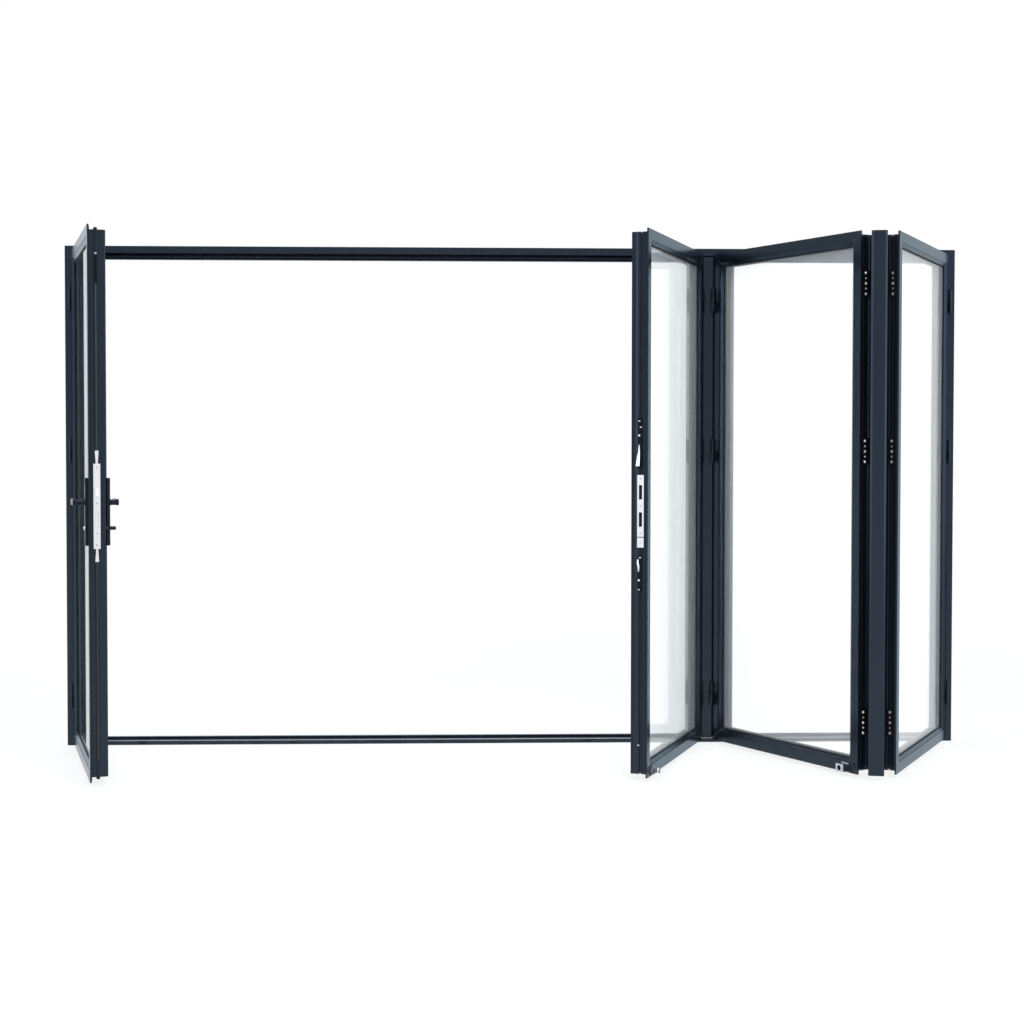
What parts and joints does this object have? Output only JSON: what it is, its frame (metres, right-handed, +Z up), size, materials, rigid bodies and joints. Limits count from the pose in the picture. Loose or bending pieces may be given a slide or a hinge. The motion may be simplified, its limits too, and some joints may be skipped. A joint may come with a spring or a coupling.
{
  "type": "aluminium bifold door",
  "caption": "Aluminium bifold door in a rebated frame, part open: a swinging traffic door with lock and levers, and hinged folding glazed leaves on a track.",
  "frame": {"origin": "centre of the sill's underside", "axes": "+X along the frame, +Y indoors through the frame's depth, +Z up"},
  "size_m": [3.6, 0.9322, 2.01],
  "materials": {
    "coated_aluminium": "anthracite grey powder coat, satin",
    "clear_glass": "clear sealed double glazing",
    "hinge_black": "black coated steel",
    "satin_steel": "brushed stainless steel",
    "polished_chrome": "polished chrome",
    "handle_black": "dark coated metal, satin",
    "guide_plastic": "black nylon"
  },
  "bodies": {
    "frame": {"catch_keeper": "polished_chrome", "front_post": "coated_aluminium", "front_post_hinges": "hinge_black", "head": "coated_aluminium", "keep_plates": "satin_steel", "leaf2_beads": "coated_aluminium", "leaf2_bottom_rail": "coated_aluminium", "leaf2_edge_profile": "coated_aluminium", "leaf2_glass": "clear_glass", "leaf2_left_stile": "coated_aluminium", "leaf2_right_stile": "coated_aluminium", "leaf2_top_rail": "coated_aluminium", "leaf2_track_hinges": "coated_aluminium", "leaf3_beads": "coated_aluminium", "leaf3_bottom_rail": "coated_aluminium", "leaf3_edge_profile": "coated_aluminium", "leaf3_glass": "clear_glass", "leaf3_left_stile": "coated_aluminium", "leaf3_post_hinges": "hinge_black", "leaf3_right_stile": "coated_aluminium", "leaf3_top_rail": "coated_aluminium", "leaf3_track_hinges": "coated_aluminium", "leaf4_beads": "coated_aluminium", "leaf4_bottom_rail": "coated_aluminium", "leaf4_edge_profile": "coated_aluminium", "leaf4_glass": "clear_glass", "leaf4_jamb_hinges": "coated_aluminium", "leaf4_left_stile": "coated_aluminium", "leaf4_post_hinges": "hinge_black", "leaf4_right_stile": "coated_aluminium", "leaf4_top_rail": "coated_aluminium", "leaf_catch": "hinge_black", "left_jamb": "coated_aluminium", "left_jamb_hinges": "coated_aluminium", "right_jamb": "coated_aluminium", "right_jamb_hinges": "coated_aluminium", "sill": "coated_aluminium", "track_guides": "guide_plastic", "track_post": "coated_aluminium", "track_post_hinges": "coated_aluminium"},
    "door": {"door_beads": "coated_aluminium", "door_bottom_rail": "coated_aluminium", "door_glass": "clear_glass", "door_hinge_stile": "coated_aluminium", "door_hinges": "coated_aluminium", "door_lock_stile": "coated_aluminium", "door_top_rail": "coated_aluminium", "lock_faceplate": "satin_steel", "outer_handle_plate": "handle_black", "inner_handle_plate": "handle_black", "lock_cylinder": "satin_steel"},
    "levers": {"outer_lever": "handle_black", "inner_lever": "handle_black"},
    "turn": {"thumb_turn": "handle_black"}
  },
  "joints": [
    {"name": "door_swing", "type": "hinge", "parent": "frame", "child": "door", "pos_m": [-1.778, -0.0575, 0], "axis": [0, 0, -1], "range_deg": [-73.9, 90]},
    {"name": "lever_turn", "type": "hinge", "parent": "door", "child": "levers", "pos_m": [-1.53846, -0.86577, 1.008], "axis": [-0.9608, -0.2773, 0], "range_deg": [-40, 40], "stiffness_Nm_per_rad": 2},
    {"name": "thumb_turning", "type": "hinge", "parent": "door", "child": "turn", "pos_m": [-1.47601, -0.84775, 0.916], "axis": [-0.9608, -0.2773, 0], "range_deg": [-90, 90]}
  ]
}
